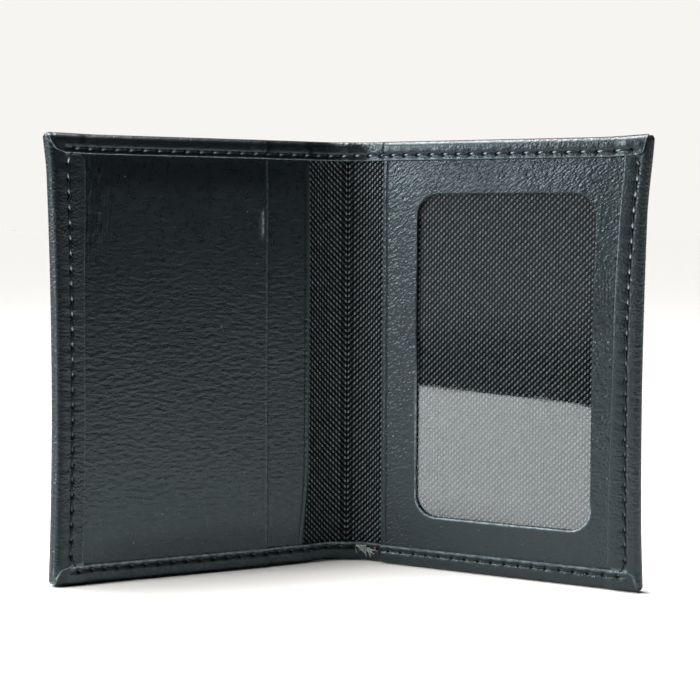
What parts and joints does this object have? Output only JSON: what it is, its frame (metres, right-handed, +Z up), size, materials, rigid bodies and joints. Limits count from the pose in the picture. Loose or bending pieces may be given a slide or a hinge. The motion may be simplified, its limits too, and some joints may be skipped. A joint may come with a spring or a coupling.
{
  "type": "bifold card wallet",
  "caption": "Bifold leather card wallet standing open, with stitched turned edges, layered card pockets on one panel and a clear ID window on the other.",
  "frame": {"origin": "centre of the footprint on the surface that the wallet stands on", "axes": "+Z up along the fold, +X to the right across both panels as seen from inside, -Y out of the opening towards the viewer, spine at +Y"},
  "size_m": [0.136, 0.0362, 0.102],
  "materials": {
    "cover_leather": "smooth black leather, turned and skived hems",
    "pocket_leather": "finely grained black leather with a creased mouth",
    "frame_leather": "pebbled black leather, slightly glossy",
    "lining_cloth": "plain-woven black nylon",
    "board": "plain",
    "clear_film": "clear and glossy",
    "thread": "twisted black polyester",
    "thread_end": "frayed grey thread"
  },
  "bodies": {
    "spine": {"cover_spine": "cover_leather", "lining_spine": "lining_cloth", "needle_thread_spine": "thread", "bobbin_thread_spine": "thread", "thread_tails": "thread_end"},
    "left_panel": {"cover_left": "cover_leather", "lining_left": "lining_cloth", "board_left": "board", "rear_card_pocket": "pocket_leather", "front_card_pocket": "pocket_leather", "needle_thread_left": "thread", "bobbin_thread_left": "thread"},
    "right_panel": {"cover_right": "cover_leather", "lining_right": "lining_cloth", "board_right": "board", "id_window_film": "clear_film", "id_window_frame": "frame_leather", "needle_thread_right": "thread", "bobbin_thread_right": "thread"}
  },
  "joints": [
    {"name": "left_fold", "type": "hinge", "parent": "spine", "child": "left_panel", "pos_m": [-0.004, 0.01592, 0.051], "axis": [0, 0, 1], "range_deg": [-27, 63]},
    {"name": "right_fold", "type": "hinge", "parent": "spine", "child": "right_panel", "pos_m": [0.004, 0.01592, 0.051], "axis": [0, 0, -1], "range_deg": [-27, 63]}
  ],
  "couplings": [
    {"joint": "right_fold", "follows": "left_fold", "ratio": 1}
  ]
}
